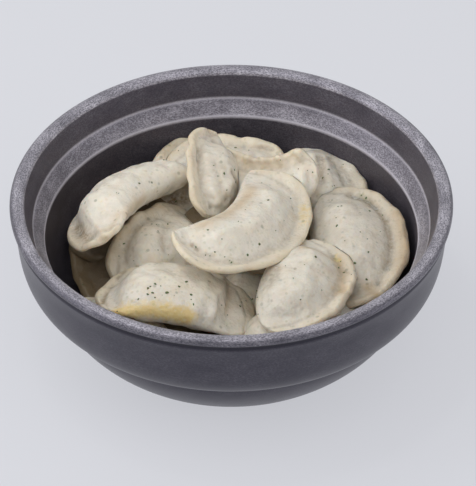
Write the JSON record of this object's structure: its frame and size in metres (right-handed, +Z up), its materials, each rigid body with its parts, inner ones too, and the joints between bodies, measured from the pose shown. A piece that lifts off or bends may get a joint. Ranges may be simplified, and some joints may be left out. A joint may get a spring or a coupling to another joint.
{
  "type": "bowl of pierogi",
  "caption": "Boiled half-moon pierogi dumplings heaped in a round dark stoneware bowl with a stepped rim",
  "frame": {"origin": "middle of the foot ring, on the surface that the bowl stands on", "axes": "+Z up through the bowl's mouth; -Y towards the viewer; +X to the viewer's right"},
  "size_m": [0.19, 0.19, 0.0775],
  "materials": {
    "stoneware": "satin",
    "dough": "satin"
  },
  "bodies": {
    "root": {"bowl": "stoneware", "pierog_top": "dough", "pierog_front_left": "dough", "pierog_upright": "dough", "pierog_left": "dough", "pierog_front_right": "dough", "pierog_right": "dough", "pierog_behind_top": "dough", "pierog_mid_left": "dough", "pierog_back_right": "dough", "pierog_back": "dough", "pierog_back_left": "dough", "pierog_low_left": "dough", "pierog_low_middle": "dough", "pierog_low_right": "dough", "pierog_low_front": "dough", "pierog_low_back_left": "dough", "pierog_under_middle": "dough", "pierog_under_left": "dough", "pierog_under_right": "dough", "pierog_under_back": "dough", "pierog_under_top": "dough", "pierog_under_front": "dough", "pierog_under_front_left": "dough", "pierog_floor_front": "dough", "pierog_floor_left": "dough", "pierog_floor_middle": "dough", "pierog_floor_right": "dough", "pierog_floor_back": "dough", "pierog_floor_back_left": "dough"}
  },
  "joints": []
}
